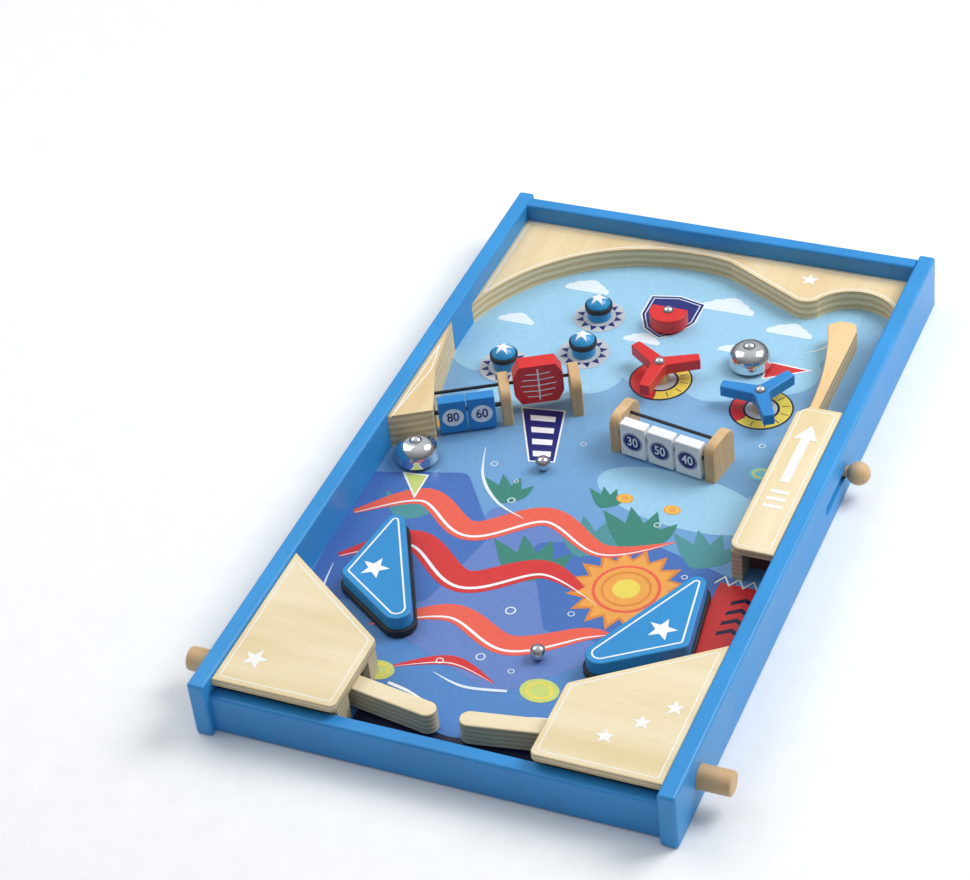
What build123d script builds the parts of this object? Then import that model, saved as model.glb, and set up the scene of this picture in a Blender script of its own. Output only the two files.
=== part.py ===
from build123d import *

import math
import os

# A wooden tabletop pinball game, in millimetres.
# X is the player's right, Y runs from the player to the back, Z is up from the table.

# Case
case_w = 300.0
rail_l = 515.0
rail_t = 11.0
rail_h = 40.0
rail_edge_r = 2.0
end_recess = 5.0
end_t = 10.0
front_h = 28.0
field_t = 5.0
field_top = 12.0
groove_d = 5.0
board_fit = 0.1
pin_fit = 0.05
run_fit = 0.07
slide_fit = 0.4
edge_r = 1.0

# Case screws, one at each corner
screw_r = 1.6
screw_head_r = 3.5
screw_head_h = 2.4
screw_l = 30.0
screw_z = 14.0

# Fold-out legs under the back
leg_l = 90.0
leg_w = 14.0
leg_t = 6.0
leg_inset = 44.0
leg_pin_r = 1.25
leg_pin_z = 3.7
leg_setback = 4.3
leg_gap = 0.3
ear_w = 6.0

# Corner covers and the flipper housings under them
cover_w = 79.0
cover_t = 5.0
cover_top = 38.0
cover_lap = 4.5
cover_tip_y = 110.0
cover_corner_y = 54.0
cover_corner_r = 4.0
cover_lip = 1.0
wall_t = 8.0
end_wall_t = 5.0
window_front = 15.0
window_back = 43.0
bridge_h = 3.4

# Flippers
pivot_inset = 7.0
pivot_front = 27.5
flipper_r = 6.0
drain_gap = 14.9
flipper_rest = 8.9
flipper_swing = 42.0
flipper_t = 15.0
flipper_gap = 2.0
boss_r = 5.0
boss_gap = 0.3
tail_l = 9.0
tail_w = 5.0
lobe_r = 3.0
push_gap = 0.3
pivot_pin_r = 2.0
pivot_pin_seat = 3.0

# Flipper buttons, pushed in from the sides
button_r = 7.5
button_z = 20.0
button_front = 23.5
button_out = 20.0
button_in = 9.0
button_edge_r = 1.5
rod_r = 4.0
rod_seat = 8.0
pusher_t = 13.0
pusher_body_l = 11.0
pusher_finger_l = 7.0
pusher_back = 6.0
pusher_front = 17.0
finger_gap = 1.0
saddle_t = 8.0
saddle_w = 24.0
saddle_h = 15.5
stop_gap = 0.2

# Launch lane along the right rail, its places measured from the back rail
lane_w = 20.5
lane_wall_t = 6.5
lane_front_from_back = 295.5
lane_back_from_back = 158.5
launch_cover_t = 5.0
launch_cover_lip = 1.0
launch_cover_r = 7.0
guide_h = 15.0
guide_clear = 52.5
guide_flare = 14.3
guide_corner_r = 3.5
guide_tip = (3.0, 8.0)
guide_drop = 6.0
guide_bow = 0.55
stop_from_back = 282.5
stop_l = 18.0
stop_clear = 1.0
slider_from_back = 198.5
slider_l = 22.0
slider_top = 30.0
slider_lift = 0.4
nose_r = 5.0
nose_l = 5.0
nose_edge_r = 2.0
knob_r = 7.5
knob_reach = 8.0
stem_r = 3.4
stem_z = 18.0
stem_seat = 10.0
launch_travel = 38.0
spigot_r = 3.8
spigot_l = 6.0

# Coil springs
coil_r = 5.2
launch_wire_r = 0.55
launch_turns = 14
button_wire_r = 0.5
button_turns = 7
coil_seat = 0.1

# Wooden deflectors
deflector_h = 25.0
# Wedge outline: each point is its distance in from the side rail, then from the back rail
deflector_front = 239.1
deflector_nose = (25.8, 224.7)
deflector_bend = (10.1, 185.3)
deflector_tip = 134.6
arch_h = 15.0
# Arch outline: each point is its distance in from the side rail, then from the back rail
arch_side = 102.2
arch_haunch = (41.0, 37.0)
arch_crown = (129.0, 7.0)
arch_fall = (142.0, 7.6)
arch_shoulder = (153.0, 9.7)
arch_slope_end = (73.0, 36.4)
arch_valley = (63.0, 38.6)
arch_rise = (56.0, 35.2)
arch_lane_apex = (35.0, 19.5)
arch_lane_side = 38.5

# Slingshot kickers with rubber bands: each corner is its distance from the middle,
# then from the front rail
sling_h = 15.0
sling_top = (98.5, 165.0)
sling_low = (65.0, 92.5)
sling_out = (105.5, 115.5)
sling_top_r = 6.0
sling_low_r = 9.0
sling_out_r = 6.0
band_t = 2.0
band_z = 0.4
band_h = 5.2
band_edge_r = 0.9

# Pegs with rubber rings: each place is its X from the middle, then its distance from the back rail
peg_places = [(-58.4, 73.0), (-54.3, 113.3), (-100.1, 140.7)]
peg_r = 8.0
peg_side_h = 11.5
peg_dome_h = 5.0
ring_t = 1.3
ring_h = 3.6
ring_z = 7.4
ring_edge_r = 0.6

# Bells: the left one is placed in from its rail, the right one as the pegs are
left_bell_place = (21.7, 246.0)
right_bell_place = (56.4, 96.0)
bell_r = 14.2
bell_h = 13.2
bell_t = 1.1
bell_flare = 0.5
bell_skirt_h = 4.0
bell_crown_r = 4.3
bell_bend = (10.9, 10.6)
bell_inner_bend = (10.15, 9.75)
bell_lift = 3.0
bell_post_r = 4.0
bell_screw_r = 2.0
bell_screw_l = 9.0
bell_head_r = 4.2
bell_head_h = 2.6

# Spinners and the swinging half disc, placed as the pegs are
spinner_places = [(5.1, 126.9), (77.7, 137.2)]
spinner_angles = [27.0, 60.0]
arm_l = 26.5
arm_root_w = 10.0
arm_tip_w = 7.4
arm_corner_r = 1.2
hub_bend_r = 4.0
spinner_t = 7.7
spinner_post_r = 5.5
spinner_post_h = 8.0
target_place = (-10.1, 68.4)
target_r = 13.0
target_t = 10.0
target_flat = 4.0
target_lift = 2.0
nail_r = 1.75
nail_head_r = 3.6
nail_head_h = 2.4
nail_seat = 6.0
play_gap = 0.35

# Number gates: posts, tiles on an axle, and a rod that stops the tiles
post_t = 7.0
post_d = 27.0
post_h = 28.0
post_round = 8.0
tile_t = 8.0
tile_h = 25.0
tile_lift = 1.7
tile_proud = 1.5
axle_depth = 2.5
tile_edge_r = 0.8
tile_axle_z = 16.8
axle_r = 1.5
axle_seat = 4.0
rod_back = 16.0
rod_height = 22.3
stop_rod_r = 1.1
white_place = (36.0, 209.5)
white_angle = -10.0
white_tile_w = 18.0
white_tile_n = 3
white_tile_gap = 1.9
blue_place = (41.5, 211.1)
blue_angle = 28.4
blue_tile_w = 18.2
blue_tile_starts = [-17.2, 1.6]
blue_left_end = -25.0
blue_post_starts = [23.7, 69.7]
paddle_w = 32.4
paddle_h = 30.0
paddle_t = 11.0
paddle_end_w = 24.0
paddle_waist_h = 14.0
paddle_corner_r = 2.5
paddle_u = 49.7

# Balls: one placed as the pegs are, the other from the front rail
ball_r = 5.0
gate_ball_place = (-35.8, 232.3)
sling_ball_place = (25.4, 91.7)
ball_gap = 0.02

# Places that several pieces share
inner_x = case_w / 2 - rail_t
front_in = -(rail_l / 2 - end_recess - end_t)
back_in = -front_in
end_mid = rail_l / 2 - end_recess - end_t / 2


def from_left(place):
    return -inner_x + place[0], back_in - place[1]


def from_right(place):
    return inner_x - place[0], back_in - place[1]


def from_middle(place):
    return place[0], back_in - place[1]


peg_points = [from_middle(place) for place in peg_places]
bell_points = [from_left(left_bell_place), from_middle(right_bell_place)]
spinner_points = [from_middle(place) for place in spinner_places]
target_point = from_middle(target_place)
ball_points = [from_middle(gate_ball_place), (sling_ball_place[0], front_in + sling_ball_place[1])]
leg_x = inner_x - leg_inset
lane_front = back_in - lane_front_from_back
lane_back = back_in - lane_back_from_back
stop_y = back_in - stop_from_back
slider_y = back_in - slider_from_back
field_low = field_top - field_t
cover_low = cover_top - cover_t
cover_in = inner_x - cover_w
wall_in = cover_in + cover_lip
pivot_x = wall_in + pivot_inset
pivot_y = front_in + pivot_front
flipper_low = field_top + flipper_gap
button_y = front_in + button_front
half_swing = math.radians(flipper_swing / 2)
flipper_l = (pivot_x - drain_gap / 2 - flipper_r) / math.cos(math.radians(flipper_rest))
lobe_x = pivot_x + tail_l * math.sin(half_swing)
lobe_y = pivot_y - tail_l * math.cos(half_swing)
finger_x = lobe_x + lobe_r + push_gap
pusher_x = finger_x + pusher_finger_l
pusher_end = pusher_x + pusher_body_l
saddle_x = pusher_end + stop_gap
shoulder_x = inner_x - button_in
lane_x = inner_x - lane_w
lane_mid = inner_x - lane_w / 2
launch_low = rail_h - launch_cover_t
stem_y = slider_y + slider_l / 2
knob_x = case_w / 2 + knob_reach
coil_z = (field_top + slider_top) / 2
leg_y = back_in - leg_setback
white_origin = (*from_middle(white_place), field_top)
white_gate = Plane(white_origin, (1, 0, 0), (0, 0, 1)).rotated((0, 0, white_angle))
blue_origin = (*from_left(blue_place), field_top)
blue_gate = Plane(blue_origin, (1, 0, 0), (0, 0, 1)).rotated((0, 0, blue_angle))
white_span = white_tile_n * white_tile_w + (white_tile_n + 1) * white_tile_gap
white_reach = white_span / 2 + axle_seat
axle_spans = [
    (white_gate, -white_reach, white_reach),
    (blue_gate, blue_left_end, blue_post_starts[0] + axle_seat),
]
rod_spans = [
    (white_gate, -white_reach, white_reach),
    (blue_gate, blue_left_end, blue_post_starts[1] + axle_seat),
]
low =(Align.CENTER, Align.CENTER, Align.MIN)
corner = (Align.MIN, Align.MIN, Align.MIN)
along_x = (0, 90, 0)
along_y = (-90, 0, 0)

os.makedirs("parts", exist_ok=True)


def keep(part, node):
    part.label = node
    export_step(part, f"parts/{node}.step")


def dome_middle(radius, height, base):
    """The point halfway along a round cap's profile, from its rim at base to its top."""
    curve = (radius**2 + height**2) / (2 * height)
    half = math.asin(radius / curve) / 2
    return curve * math.sin(half), base + height - curve * (1 - math.cos(half))


# Case: two side rails, two end rails, the playfield board and the corner screws
def cut_screws(fit):
    for side in (-1, 1):
        for end in (-1, 1):
            outside = Location((side * case_w / 2, end * end_mid, screw_z), (0, -90 * side, 0))
            with Locations(outside):
                Cylinder(screw_r + fit, screw_l + fit, align=low, mode=Mode.SUBTRACT)
                Cone(screw_head_r + fit, screw_r + fit, screw_head_h, align=low, mode=Mode.SUBTRACT)


def side_rail(side):
    with BuildPart() as rail:
        with Locations((side * (inner_x + rail_t / 2), 0, 0)):
            Box(rail_t, rail_l, rail_h, align=low)
        fillet(rail.edges(), rail_edge_r)
        with Locations((side * (inner_x + groove_d / 2), 0, field_low)):
            Box(groove_d, 2 * (end_mid + board_fit), field_t + board_fit, align=low, mode=Mode.SUBTRACT)
        with Locations(Location((side * case_w / 2, button_y, button_z), along_x)):
            Cylinder(button_r + run_fit, 3 * rail_t, mode=Mode.SUBTRACT)
        cut_screws(pin_fit)
    return rail.part


keep(side_rail(-1), "left_rail")

with BuildPart() as right_rail:
    add(side_rail(1))
    slot_r = stem_r + slide_fit
    with BuildSketch(Plane.YZ.offset(inner_x - rail_t)):
        with Locations((stem_y - launch_travel / 2, stem_z)):
            SlotCenterToCenter(launch_travel, 2 * slot_r)
    extrude(amount=3 * rail_t, mode=Mode.SUBTRACT)
keep(right_rail.part, "right_rail")


def end_rail(end, height):
    with BuildPart() as rail:
        with Locations((0, end * end_mid, 0)):
            Box(2 * inner_x, end_t, height, align=low)
        fillet(rail.edges().filter_by(Axis.X), rail_edge_r)
        with Locations((0, end * (end_mid - end_t / 4), field_low)):
            Box(2 * inner_x, end_t / 2, field_t + board_fit, align=low, mode=Mode.SUBTRACT)
        cut_screws(pin_fit)
    return rail.part


keep(end_rail(-1, front_h), "front_rail")
keep(end_rail(1, rail_h), "back_rail")

with BuildPart() as playfield:
    with Locations((0, 0, field_low)):
        Box(2 * (inner_x + groove_d - board_fit), 2 * (end_mid - board_fit), field_t, align=low)
    with Locations((-pivot_x, pivot_y, field_top), (pivot_x, pivot_y, field_top)):
        Hole(pivot_pin_r + pin_fit, pivot_pin_seat)
    with Locations((*target_point, field_top)):
        Hole(nail_r + pin_fit, pivot_pin_seat)
keep(playfield.part, "playfield")

with BuildPart() as case_screws:
    for side in (-1, 1):
        for end in (-1, 1):
            with Locations(Location((side * case_w / 2, end * end_mid, screw_z), (0, -90 * side, 0))):
                Cylinder(screw_r, screw_l, align=low)
                Cone(screw_head_r, screw_r, screw_head_h, align=low)
keep(case_screws.part, "case_screws")


# Legs folded into the hollow under the playfield, each on a pin between two ears
def leg(side):
    with BuildPart() as strip:
        with BuildSketch(Plane.YZ.offset(side * leg_x - leg_w / 2)):
            with Locations((leg_y, leg_pin_z), (leg_y - leg_l + leg_t, leg_pin_z)):
                Circle(leg_t / 2)
            make_hull()
        extrude(amount=leg_w)
        with Locations(Location((side * leg_x, leg_y, leg_pin_z), along_x)):
            Cylinder(leg_pin_r + run_fit, 2 * leg_w, mode=Mode.SUBTRACT)
    return strip.part


keep(leg(-1), "left_leg")
keep(leg(1), "right_leg")

ear_x = leg_w / 2 + leg_gap + ear_w / 2
ear_l = 2 * (leg_setback - leg_gap)
with BuildPart() as leg_ears:
    for side in (-1, 1):
        for ear in (-1, 1):
            with Locations((side * leg_x + ear * ear_x, leg_y, field_low)):
                Box(ear_w, ear_l, field_low - edge_r, align=(Align.CENTER, Align.CENTER, Align.MAX))
        with Locations(Location((side * leg_x, leg_y, leg_pin_z), along_x)):
            Cylinder(leg_pin_r + pin_fit, 4 * leg_w, mode=Mode.SUBTRACT)
keep(leg_ears.part, "leg_ears")

with BuildPart() as leg_pins:
    for side in (-1, 1):
        with Locations(Location((side * leg_x, leg_y, leg_pin_z), along_x)):
            Cylinder(leg_pin_r, leg_w + 2 * (leg_gap + ear_w))
keep(leg_pins.part, "leg_pins")


# Corner covers and the walls that carry them
def cover(side):
    corners = [
        (side * inner_x, front_in - cover_lap),
        (side * inner_x, front_in + cover_tip_y),
        (side * cover_in, front_in + cover_corner_y),
        (side * cover_in, front_in - cover_lap),
    ]
    with BuildPart() as plate:
        with BuildSketch(Plane.XY.offset(cover_low)) as outline:
            Polygon(*corners, align=None)
            inner_corners = outline.vertices().sort_by(Axis.X, reverse=side < 0)[:2]
            fillet(inner_corners, cover_corner_r)
        extrude(amount=cover_t)
        fillet(plate.faces().sort_by(Axis.Z)[-1].edges(), edge_r)
        with Locations((side * pivot_x, pivot_y, cover_low)):
            Cylinder(pivot_pin_r + pin_fit, 2 * pivot_pin_seat, mode=Mode.SUBTRACT)
    return plate.part


def housing(side):
    slope = (cover_tip_y - cover_corner_y) / cover_w
    lean = math.sqrt(1 + slope**2)
    bend_y = front_in + cover_corner_y + slope * cover_lip - cover_lip * lean
    rail_y = bend_y + slope * (inner_x - wall_in)
    drop = wall_t * lean
    outline = [
        (side * inner_x, rail_y),
        (side * wall_in, bend_y),
        (side * wall_in, front_in),
        (side * (wall_in + end_wall_t), front_in),
        (side * (wall_in + end_wall_t), bend_y + slope * end_wall_t - drop),
        (side * inner_x, rail_y - drop),
    ]
    window_l = window_back - window_front
    with BuildPart() as walls:
        with BuildSketch(Plane.XY.offset(field_top)):
            Polygon(*outline, align=None)
        extrude(amount=cover_low - field_top)
        with Locations((side * wall_in, front_in + window_front + window_l / 2, field_top)):
            Box(3 * end_wall_t, window_l, cover_low - field_top - bridge_h, align=low, mode=Mode.SUBTRACT)
    return walls.part


# Flipper: a round-ended blade with a short tail that the button pushes
def flipper(side):
    rest = math.radians(flipper_rest)
    hub = (side * pivot_x, pivot_y)
    tip = (side * (pivot_x - flipper_l * math.cos(rest)), pivot_y - flipper_l * math.sin(rest))
    lobe = (side * lobe_x, lobe_y)
    tail_mid = ((hub[0] + lobe[0]) / 2, (hub[1] + lobe[1]) / 2)
    tail_angle = side * flipper_swing / 2
    with BuildPart() as blade:
        with BuildSketch(Plane.XY.offset(flipper_low)):
            with Locations(hub, tip):
                Circle(flipper_r)
            make_hull()
        extrude(amount=flipper_t)
        fillet(blade.edges().group_by(Axis.Z)[-1], edge_r)
        with BuildSketch(Plane.XY.offset(flipper_low)):
            with Locations(Location((*tail_mid, 0), (0, 0, tail_angle))):
                Rectangle(tail_w, tail_l)
            with Locations(lobe):
                Circle(lobe_r)
        extrude(amount=flipper_t - edge_r)
        with Locations((*hub, field_top + boss_gap)):
            Cylinder(boss_r, flipper_gap, align=low)
            Cylinder(pivot_pin_r + run_fit, 4 * flipper_t, mode=Mode.SUBTRACT)
    return blade.part


def button(side):
    with BuildPart() as dowel:
        head_l = case_w / 2 + button_out - shoulder_x
        with Locations(Location((side * (shoulder_x + head_l / 2), button_y, button_z), along_x)):
            Cylinder(button_r, head_l)
        fillet(dowel.edges().sort_by(Axis.X, reverse=side > 0)[0], button_edge_r)
        rod_l = shoulder_x - pusher_end + rod_seat
        with Locations(Location((side * (shoulder_x - rod_l / 2), button_y, button_z), along_x)):
            Cylinder(rod_r, rod_l)
    return dowel.part


def pusher(side):
    finger_back = pivot_y - flipper_r - finger_gap
    outline = [
        (side * pusher_end, button_y + pusher_back),
        (side * pusher_end, button_y - pusher_front),
        (side * finger_x, button_y - pusher_front),
        (side * finger_x, finger_back),
        (side * pusher_x, finger_back),
        (side * pusher_x, button_y + pusher_back),
    ]
    with BuildPart() as block:
        with BuildSketch(Plane.XY.offset(button_z - pusher_t / 2)):
            Polygon(*outline, align=None)
        extrude(amount=pusher_t)
        with Locations(Location((side * pusher_end, button_y, button_z), along_x)):
            Cylinder(rod_r + pin_fit, 2 * (rod_seat + pin_fit), mode=Mode.SUBTRACT)
    return block.part


# A coil spring: each quarter turn of the helix is two arcs that share a tangent
def coil(base, radius, wire, length, turns):
    steps = 4 * turns
    rise = length / steps
    climb = rise / (math.pi / 2)
    size = math.hypot(radius, climb)

    def point(step):
        turn = step * math.pi / 2
        return base.from_local_coords((radius * math.cos(turn), radius * math.sin(turn), rise * step))

    def heading(step):
        turn = step * math.pi / 2
        across = base.y_dir * math.cos(turn) - base.x_dir * math.sin(turn)
        return (across * radius + base.z_dir * climb) / size

    with BuildPart() as wound:
        with BuildLine() as path:
            for step in range(steps):
                start, end = point(step), point(step + 1)
                leave, arrive = heading(step), heading(step + 1)
                chord, both = end - start, leave + arrive
                spare = 4 - both.dot(both)
                pull = chord.dot(both)
                reach = (math.sqrt(pull**2 + spare * chord.dot(chord)) - pull) / spare
                middle = (start + end + (leave - arrive) * reach) / 2
                onward = (end - arrive * reach - start - leave * reach).normalized()
                TangentArc(start, middle, tangent=leave)
                TangentArc(middle, end, tangent=onward)
        with BuildSketch(Plane(path.line @ 0, z_dir=path.line % 0)):
            Circle(wire)
        sweep(path=path.line)
    return wound.part


def coil_gap(radius, wire, length, turns):
    """Least distance between neighbouring turns, on points of the helix, less the wire."""
    samples = 48 * turns
    turn = [2 * math.pi * turns * n / samples for n in range(samples + 1)]
    points = [(radius * math.cos(a), radius * math.sin(a), length * a / turn[-1]) for a in turn]
    apart = [
        math.dist(points[i], points[j])
        for i in range(0, samples + 1, 12)
        for j in range(i + 24, samples + 1)
    ]
    return min(apart) - 2 * wire


button_coil_l = shoulder_x - saddle_x - saddle_t - 2 * (coil_seat + button_wire_r)
for side, name in ((-1, "left"), (1, "right")):
    keep(cover(side), f"{name}_cover")
    keep(housing(side), f"{name}_housing")
    keep(flipper(side), f"{name}_flipper")
    keep(button(side), f"{name}_button")
    keep(pusher(side), f"{name}_pusher")
    coil_start = saddle_x + saddle_t + coil_seat + button_wire_r
    seat = Plane((side * coil_start, button_y, button_z), (0, 1, 0), (side, 0, 0))
    keep(coil(seat, coil_r, button_wire_r, button_coil_l, button_turns), f"{name}_button_spring")
print("button spring gap", round(coil_gap(coil_r, button_wire_r, button_coil_l, button_turns), 2))

with BuildPart() as button_saddles:
    for side in (-1, 1):
        with Locations((side * (saddle_x + saddle_t / 2), button_y, field_top)):
            Box(saddle_t, saddle_w, saddle_h, align=low)
        with Locations(Location((side * saddle_x, button_y, button_z), along_x)):
            Cylinder(rod_r + run_fit, 4 * saddle_t, mode=Mode.SUBTRACT)
keep(button_saddles.part, "button_saddles")

with BuildPart() as flipper_pins:
    pin_foot = field_top - pivot_pin_seat
    with Locations((-pivot_x, pivot_y, pin_foot), (pivot_x, pivot_y, pin_foot)):
        Cylinder(pivot_pin_r, cover_low - field_top + 2 * pivot_pin_seat, align=low)
keep(flipper_pins.part, "flipper_pins")

# Launch lane: wall, cover, guide, fixed stop, sprung slider and its knob
with BuildPart() as lane_wall:
    with Locations((lane_x - lane_wall_t, lane_front, field_top)):
        Box(lane_wall_t, lane_back - lane_front, launch_low - field_top, align=corner)
keep(lane_wall.part, "lane_wall")

with BuildPart() as launch_cover:
    cover_left = lane_x - lane_wall_t - launch_cover_lip
    cover_front = lane_front - 2 * launch_cover_lip
    with BuildSketch(Plane.XY.offset(launch_low)) as outline:
        with Locations((cover_left, cover_front)):
            Rectangle(inner_x - cover_left, lane_back - cover_front, align=(Align.MIN, Align.MIN))
        left_corners = outline.vertices().group_by(Axis.X)[0].sort_by(Axis.Y)
        fillet(left_corners[0], launch_cover_r)
        chamfer(outline.vertices().group_by(Axis.Y)[-1].sort_by(Axis.X)[0], launch_cover_r)
    extrude(amount=launch_cover_t)
    fillet(launch_cover.faces().sort_by(Axis.Z)[-1].edges(), edge_r)
keep(launch_cover.part, "launch_cover")

with BuildPart() as lane_guide:
    guide_back = back_in - guide_clear
    guide_l = guide_back - lane_back
    guide_left = lane_x - lane_wall_t
    with BuildSketch(Plane.XY.offset(field_top)) as outline:
        with BuildLine():
            flare_end = (guide_left - guide_flare, guide_back - guide_drop)
            Polyline(
                (guide_left, lane_back),
                (lane_x, lane_back),
                (lane_x, guide_back - guide_tip[1]),
                (lane_x - guide_tip[0], guide_back),
                (guide_left - guide_flare / 2, guide_back),
                flare_end,
            )
            flare_mid = (guide_left - guide_flare / 4, lane_back + guide_l * guide_bow)
            ThreePointArc(flare_end, flare_mid, (guide_left, lane_back))
        make_face()
        fillet(outline.vertices().filter_by(lambda v: v.Y > lane_back + guide_l / 2), guide_corner_r)
    extrude(amount=guide_h)
    fillet(lane_guide.faces().sort_by(Axis.Z)[-1].edges(), edge_r)
keep(lane_guide.part, "lane_guide")

with BuildPart() as launcher_stop:
    with Locations((lane_mid, stop_y, field_top)):
        Box(lane_w, stop_l, launch_low - field_top - stop_clear, align=(Align.CENTER, Align.MIN, Align.MIN))
    with Locations(Location((lane_mid, stop_y + stop_l, coil_z), along_y)):
        Cylinder(spigot_r, spigot_l, align=low)
keep(launcher_stop.part, "launcher_stop")

with BuildPart() as launcher_slider:
    with Locations((lane_mid, slider_y, field_top + slider_lift)):
        slider_h = slider_top - field_top - slider_lift
        Box(lane_w - 2 * slide_fit, slider_l, slider_h, align=(Align.CENTER, Align.MIN, Align.MIN))
    fillet(launcher_slider.edges().filter_by(Axis.Y), edge_r)
    with Locations(Location((lane_mid, slider_y, coil_z), (90, 0, 0))):
        Cylinder(spigot_r, spigot_l, align=low)
    with Locations(Location((lane_mid, slider_y + slider_l, field_top + nose_r + slider_lift), along_y)):
        Cylinder(nose_r, nose_l, align=low)
    fillet(launcher_slider.edges().sort_by(Axis.Y)[-1], nose_edge_r)
    with Locations(Location((inner_x - slide_fit, stem_y, stem_z), along_x)):
        Cylinder(stem_r + pin_fit, 2 * (stem_seat + pin_fit), mode=Mode.SUBTRACT)
keep(launcher_slider.part, "launcher_slider")

with BuildPart() as launcher_knob:
    with Locations((knob_x, stem_y, stem_z)):
        Sphere(knob_r)
    stem_l = knob_x - (inner_x - slide_fit - stem_seat)
    with Locations(Location((knob_x - stem_l / 2, stem_y, stem_z), along_x)):
        Cylinder(stem_r, stem_l)
keep(launcher_knob.part, "launcher_knob")

launch_coil_l = slider_y - stop_y - stop_l - 2 * (coil_seat + launch_wire_r)
coil_start = stop_y + stop_l + coil_seat + launch_wire_r
seat = Plane((lane_mid, coil_start, coil_z), (1, 0, 0), (0, 1, 0))
keep(coil(seat, coil_r, launch_wire_r, launch_coil_l, launch_turns), "launcher_spring")
print("launcher spring gap", round(coil_gap(coil_r, launch_wire_r, launch_coil_l, launch_turns), 2))


# The rods of the number gates, also used with a fit to bore the wood that holds them
def gate_bars(spans, depth, height, radius, fit=0):
    with BuildPart() as bars:
        for gate, start, end in spans:
            with Locations(gate.location * Location(((start + end) / 2, depth, height), along_x)):
                Cylinder(radius + fit, end - start + 2 * fit)
    return bars.part


keep(gate_bars(axle_spans, axle_depth, tile_axle_z, axle_r), "tile_axles")
keep(gate_bars(rod_spans, rod_back, rod_height, stop_rod_r), "stop_rods")
axle_bores = gate_bars(axle_spans, axle_depth, tile_axle_z, axle_r, pin_fit)
rod_bores = gate_bars(rod_spans, rod_back, rod_height, stop_rod_r, pin_fit)

# Wooden deflectors: the arched plate at the back and the wedge on the left rail
with BuildPart() as arch_deflector:
    with BuildSketch(Plane.XY.offset(field_top)) as outline:
        with BuildLine():
            left = (-inner_x, back_in - arch_side)
            lane_end = (inner_x, back_in - arch_lane_side)
            crown, shoulder = from_left(arch_crown), from_left(arch_shoulder)
            slope_end, rise = from_right(arch_slope_end), from_right(arch_rise)
            ThreePointArc(left, from_left(arch_haunch), crown)
            ThreePointArc(crown, from_left(arch_fall), shoulder)
            Line(shoulder, slope_end)
            ThreePointArc(slope_end, from_right(arch_valley), rise)
            ThreePointArc(rise, from_right(arch_lane_apex), lane_end)
            Polyline(lane_end, (inner_x, back_in), (-inner_x, back_in), left)
        make_face()
    extrude(amount=arch_h)
keep(arch_deflector.part, "arch_deflector")

deflector_corners = [
    from_left((0, deflector_front)),
    from_left(deflector_nose),
    from_left(deflector_bend),
    from_left((0, deflector_tip)),
]
with BuildPart() as left_deflector:
    with BuildSketch(Plane.XY.offset(field_top)) as outline:
        Polygon(*deflector_corners, align=None)
        fillet(outline.vertices().sort_by(Axis.X)[-1], edge_r)
    extrude(amount=deflector_h)
    add(axle_bores, mode=Mode.SUBTRACT)
    add(rod_bores, mode=Mode.SUBTRACT)
keep(left_deflector.part, "left_deflector")


# Slingshot kickers: rounded triangles with a rubber band round the foot
def sling_circles(side, grow):
    for place, radius in ((sling_top, sling_top_r), (sling_low, sling_low_r), (sling_out, sling_out_r)):
        with Locations((side * place[0], front_in + place[1])):
            Circle(radius + grow)


def slingshot(side):
    with BuildPart() as kicker:
        with BuildSketch(Plane.XY.offset(field_top)):
            sling_circles(side, 0)
            make_hull()
        extrude(amount=sling_h)
        fillet(kicker.edges().group_by(Axis.Z)[-1], edge_r)
    return kicker.part


def band(side):
    with BuildPart() as ring:
        with BuildSketch(Plane.XY.offset(field_top + band_z)):
            sling_circles(side, band_t)
            make_hull()
        extrude(amount=band_h)
        fillet(ring.edges(), band_edge_r)
        with BuildSketch(Plane.XY.offset(field_top)):
            sling_circles(side, pin_fit)
            make_hull()
        extrude(amount=sling_h, mode=Mode.SUBTRACT)
    return ring.part


for side, name in ((-1, "left"), (1, "right")):
    keep(slingshot(side), f"{name}_slingshot")
    keep(band(side), f"{name}_rubber_band")

# Domed pegs, each with a rubber ring
with BuildPart() as pegs:
    for x, y in peg_points:
        with BuildSketch(Plane((x, y, field_top), (1, 0, 0), (0, -1, 0))):
            with BuildLine():
                Polyline((0, peg_side_h + peg_dome_h), (0, 0), (peg_r, 0), (peg_r, peg_side_h))
                middle = dome_middle(peg_r, peg_dome_h, peg_side_h)
                ThreePointArc((peg_r, peg_side_h), middle, (0, peg_side_h + peg_dome_h))
            make_face()
        revolve(axis=Axis((x, y, 0), (0, 0, 1)))
keep(pegs.part, "pegs")

with BuildPart() as peg_rings:
    for x, y in peg_points:
        with BuildSketch(Plane((x, y, field_top), (1, 0, 0), (0, -1, 0))):
            with Locations((peg_r + pin_fit + ring_t / 2, ring_z + ring_h / 2)):
                RectangleRounded(ring_t, ring_h, ring_edge_r)
        revolve(axis=Axis((x, y, 0), (0, 0, 1)))
keep(peg_rings.part, "peg_rings")


# Bells: a thin dome on a post, held by a domed screw
def bell(place):
    with BuildPart() as dome:
        with BuildSketch(Plane((*place, field_top + bell_lift), (1, 0, 0), (0, -1, 0))):
            with BuildLine():
                eye = bell_screw_r + pin_fit
                skirt_r = bell_r - bell_flare
                under = bell_h - bell_t
                foot = [(skirt_r - bell_t, bell_skirt_h), (bell_r - bell_t, 0), (bell_r, 0)]
                Polyline(*foot, (skirt_r, bell_skirt_h))
                ThreePointArc((skirt_r, bell_skirt_h), bell_bend, (bell_crown_r, bell_h))
                Polyline((bell_crown_r, bell_h), (eye, bell_h), (eye, under), (bell_crown_r, under))
                ThreePointArc((bell_crown_r, under), bell_inner_bend, (skirt_r - bell_t, bell_skirt_h))
            make_face()
        revolve(axis=Axis((*place, 0), (0, 0, 1)))
    return dome.part


keep(bell(bell_points[0]), "left_bell")
keep(bell(bell_points[1]), "right_bell")

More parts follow.
